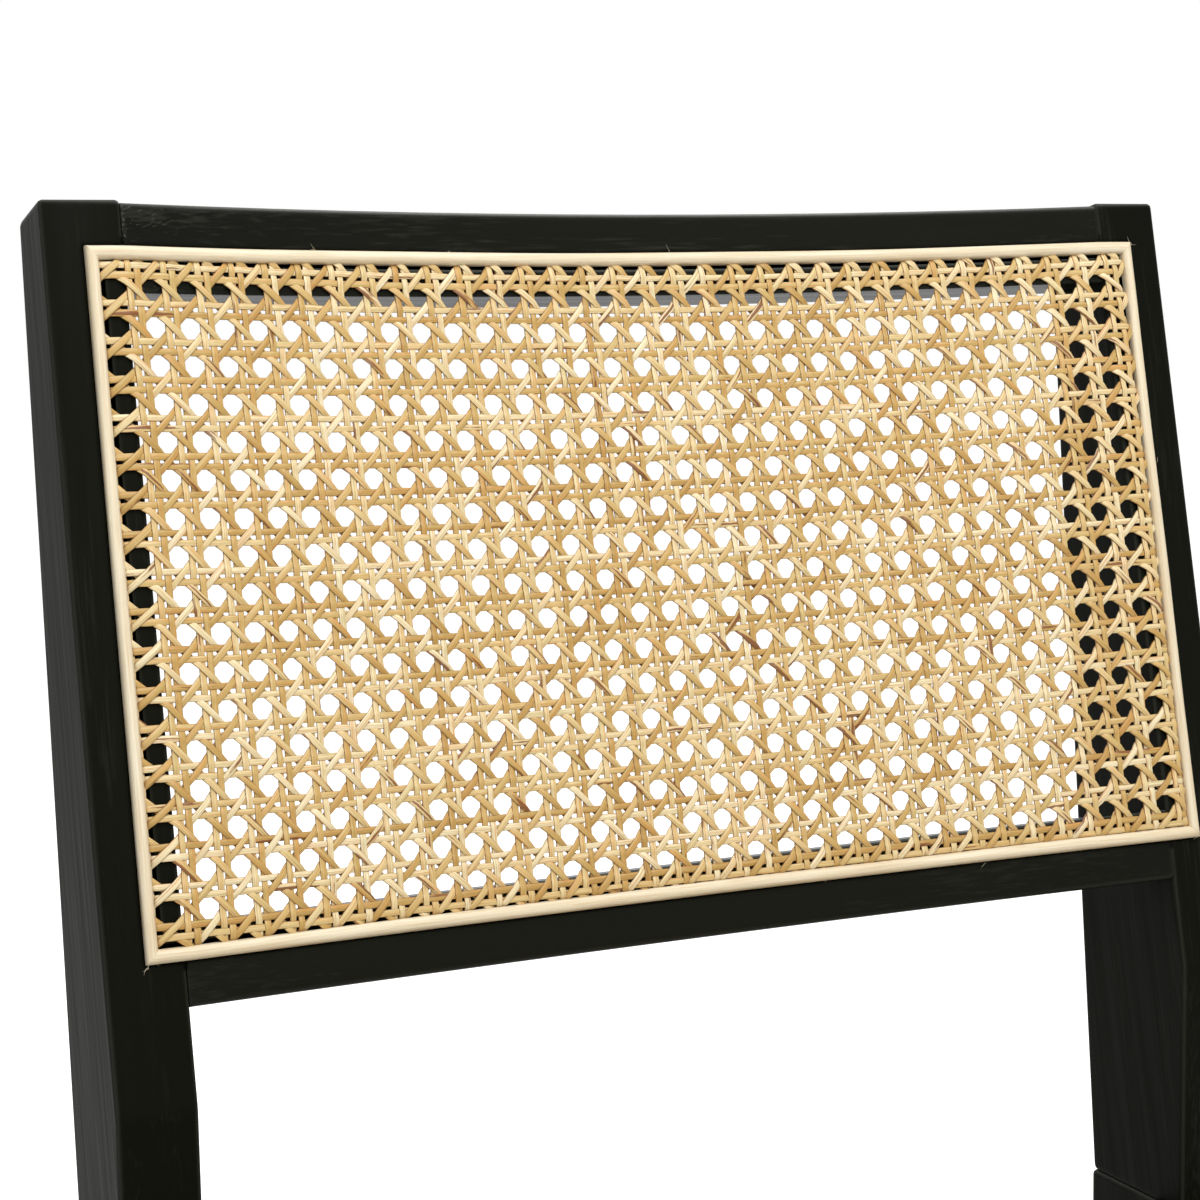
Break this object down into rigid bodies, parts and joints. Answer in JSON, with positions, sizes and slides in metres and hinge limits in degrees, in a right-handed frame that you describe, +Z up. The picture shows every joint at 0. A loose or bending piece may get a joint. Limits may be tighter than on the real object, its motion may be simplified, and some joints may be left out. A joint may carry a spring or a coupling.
{
  "type": "dining chair",
  "caption": "Dining chair with a reclined, curved cane back and a cane seat in a dark painted wooden frame on four slim legs.",
  "frame": {"origin": "on the floor, under the middle of the chair's bounding box", "axes": "+X to the right as seen from the front, +Y backward, +Z up; the sitter faces -Y"},
  "size_m": [0.46, 0.527, 0.8329],
  "materials": {
    "painted_wood": "satin black paint over open-grain wood",
    "cane": "natural woven cane, semi-gloss skin",
    "reed_spline": "pale half-round reed with fine fibres",
    "raw_wood": "unpainted hardwood",
    "steel": "zinc-plated steel",
    "brass": "plain brass",
    "nylon": "moulded nylon"
  },
  "bodies": {
    "root": {"back_post_right": "painted_wood", "back_post_left": "painted_wood", "top_back_rail": "painted_wood", "bottom_back_rail": "painted_wood", "rear_leg_right": "painted_wood", "rear_leg_left": "painted_wood", "front_leg_right": "painted_wood", "front_leg_left": "painted_wood", "side_apron_right": "painted_wood", "side_apron_left": "painted_wood", "front_apron": "painted_wood", "rear_apron": "painted_wood", "side_seat_rail_right": "painted_wood", "side_seat_rail_left": "painted_wood", "front_seat_rail": "painted_wood", "rear_seat_rail": "painted_wood", "back_cane_panel": "cane", "seat_cane_panel": "cane", "back_spline_top": "reed_spline", "back_spline_bottom": "reed_spline", "back_spline_right": "reed_spline", "back_spline_left": "reed_spline", "seat_spline_front": "reed_spline", "seat_spline_rear": "reed_spline", "seat_spline_right": "reed_spline", "seat_spline_left": "reed_spline", "corner_block_front_right": "raw_wood", "corner_block_front_left": "raw_wood", "corner_block_rear_right": "raw_wood", "corner_block_rear_left": "raw_wood", "post_dowel_front_right": "raw_wood", "post_dowel_front_left": "raw_wood", "post_dowel_rear_right": "raw_wood", "post_dowel_rear_left": "raw_wood", "post_bolt_right": "steel", "post_bolt_left": "steel", "post_bolt_washer_right": "steel", "post_bolt_washer_left": "steel", "block_screw_front_seat_right": "steel", "block_screw_front_seat_left": "steel", "block_screw_front_side_right": "steel", "block_screw_front_side_left": "steel", "block_screw_front_cross_right": "steel", "block_screw_front_cross_left": "steel", "block_screw_rear_seat_right": "steel", "block_screw_rear_seat_left": "steel", "block_screw_rear_side_right": "steel", "block_screw_rear_side_left": "steel", "block_screw_rear_cross_right": "steel", "block_screw_rear_cross_left": "steel", "post_bolt_insert_right": "brass", "post_bolt_insert_left": "brass", "front_glide_right": "nylon", "front_glide_left": "nylon", "rear_glide_right": "nylon", "rear_glide_left": "nylon"}
  },
  "joints": []
}
